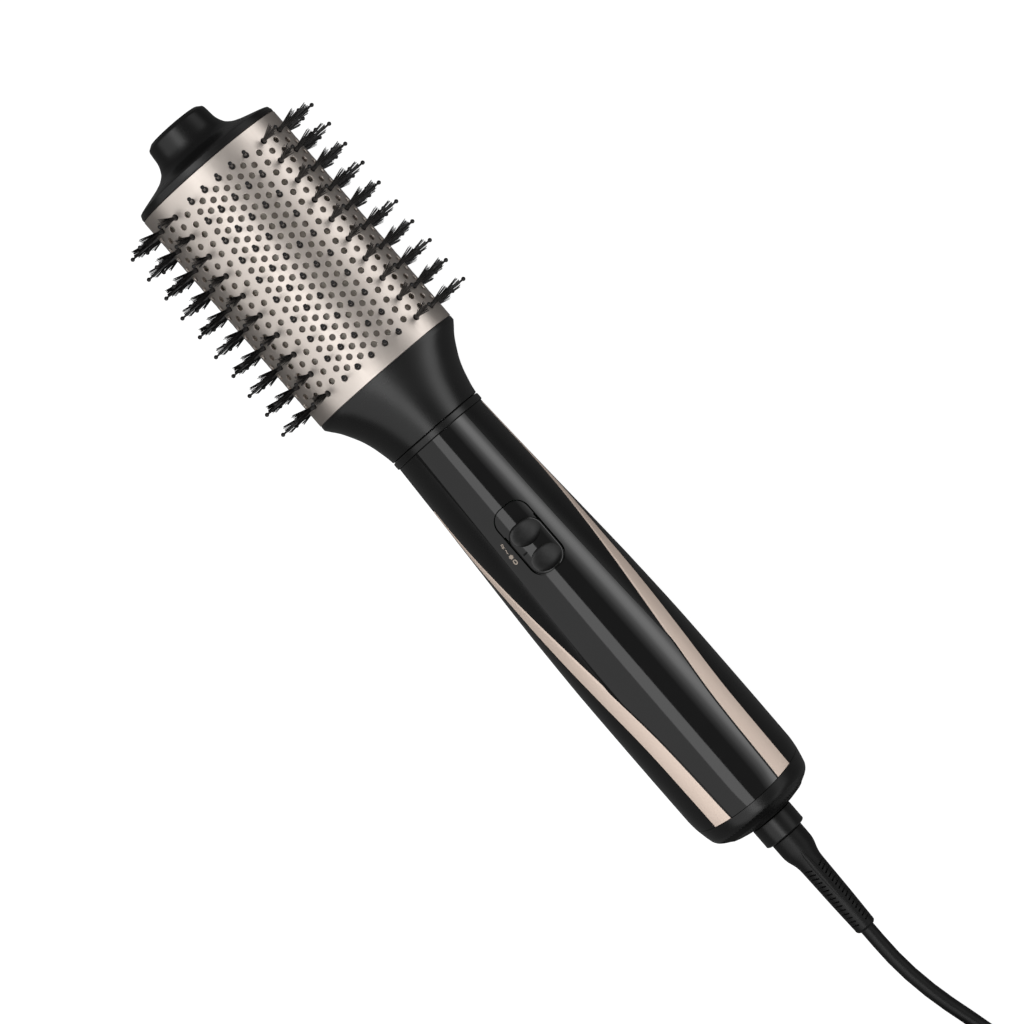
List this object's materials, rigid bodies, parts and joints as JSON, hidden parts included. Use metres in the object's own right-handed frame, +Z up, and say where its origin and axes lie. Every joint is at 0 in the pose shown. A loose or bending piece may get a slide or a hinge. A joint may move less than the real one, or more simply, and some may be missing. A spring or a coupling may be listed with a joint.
{
  "type": "hot air brush",
  "caption": "Oval hot air styling brush with a perforated barrel, ball-tip pins and tufted sides, flared neck, sliding switch, swivel strain relief and a coiled mains lead.",
  "frame": {"origin": "on the table under the middle of the brush, measured without the lead", "axes": "+X along the brush from the tip towards the lead, +Z up with the switch on top, +Y completes the right-handed frame"},
  "size_m": [0.6175, 0.1151, 0.0756],
  "materials": {
    "black_satin_abs": "satin moulded",
    "black_gloss_panel": "polished",
    "champagne_metal": "satin champagne anodised",
    "rose_gold_inlay": "satin metallic",
    "bristle_nylon": "moulded nylon",
    "cord_pvc": "matt",
    "steel": "brushed",
    "mica": "laminate",
    "light_plastic": "moulded",
    "circuit_board": "lacquered laminate",
    "nickel_pins": "nickel plated"
  },
  "bodies": {
    "brush": {"tip_cap": "black_satin_abs", "handle_shell": "black_satin_abs", "neck_cone": "black_satin_abs", "neck_ring": "black_satin_abs", "end_cap": "black_satin_abs", "collar": "black_satin_abs", "motor_mount": "black_satin_abs", "fan_shroud": "black_satin_abs", "cord_clamp": "black_satin_abs", "coil_tie": "black_satin_abs", "front_panel": "black_gloss_panel", "barrel_sleeve": "champagne_metal", "inlay_left": "rose_gold_inlay", "inlay_right": "rose_gold_inlay", "bristle_strip_front_1": "bristle_nylon", "bristle_strip_front_2": "bristle_nylon", "bristle_strip_front_3": "bristle_nylon", "bristle_strip_front_4": "bristle_nylon", "bristle_strip_front_5": "bristle_nylon", "bristle_strip_back_1": "bristle_nylon", "bristle_strip_back_2": "bristle_nylon", "bristle_strip_back_3": "bristle_nylon", "bristle_strip_back_4": "bristle_nylon", "bristle_strip_back_5": "bristle_nylon", "bristle_strip_left_1": "bristle_nylon", "bristle_strip_left_2": "bristle_nylon", "bristle_strip_left_3": "bristle_nylon", "bristle_strip_left_4": "bristle_nylon", "bristle_strip_left_5": "bristle_nylon", "bristle_strip_right_1": "bristle_nylon", "bristle_strip_right_2": "bristle_nylon", "bristle_strip_right_3": "bristle_nylon", "bristle_strip_right_4": "bristle_nylon", "bristle_strip_right_5": "bristle_nylon", "inner_lead": "cord_pvc", "cord_lead": "cord_pvc", "cord_coil": "cord_pvc", "cord_tail": "cord_pvc", "plug_strain_relief": "cord_pvc", "plug_body": "cord_pvc", "tie_rod": "steel", "heater_coil": "steel", "thermostat": "steel", "thermal_fuse": "steel", "motor": "steel", "intake_filter": "steel", "heater_frame": "mica", "heat_shield": "mica", "strip_retainer_tip": "light_plastic", "strip_retainer_neck": "light_plastic", "slide_switch": "light_plastic", "circuit_board": "circuit_board", "plug_pin_left": "nickel_pins", "plug_pin_right": "nickel_pins"},
    "switch_slider": {"switch_thumb": "black_gloss_panel", "switch_shutter": "black_gloss_panel"},
    "fan": {"fan_impeller": "light_plastic", "motor_shaft": "steel"},
    "swivel": {"strain_relief": "cord_pvc", "swivel_spindle": "black_satin_abs"}
  },
  "joints": [
    {"name": "switch_slide", "type": "slide", "parent": "brush", "child": "switch_slider", "axis": [-0.9985, 0, 0.0547], "range_m": [0, 0.008]},
    {"name": "fan_spin", "type": "hinge", "parent": "brush", "child": "fan", "pos_m": [0.10344, 0, 0.0251], "axis": [0.9985, 0, -0.0547], "continuous": true},
    {"name": "cord_swivel", "type": "hinge", "parent": "brush", "child": "swivel", "pos_m": [0.16035, 0, 0.02199], "axis": [0.9985, 0, -0.0547], "continuous": true}
  ]
}
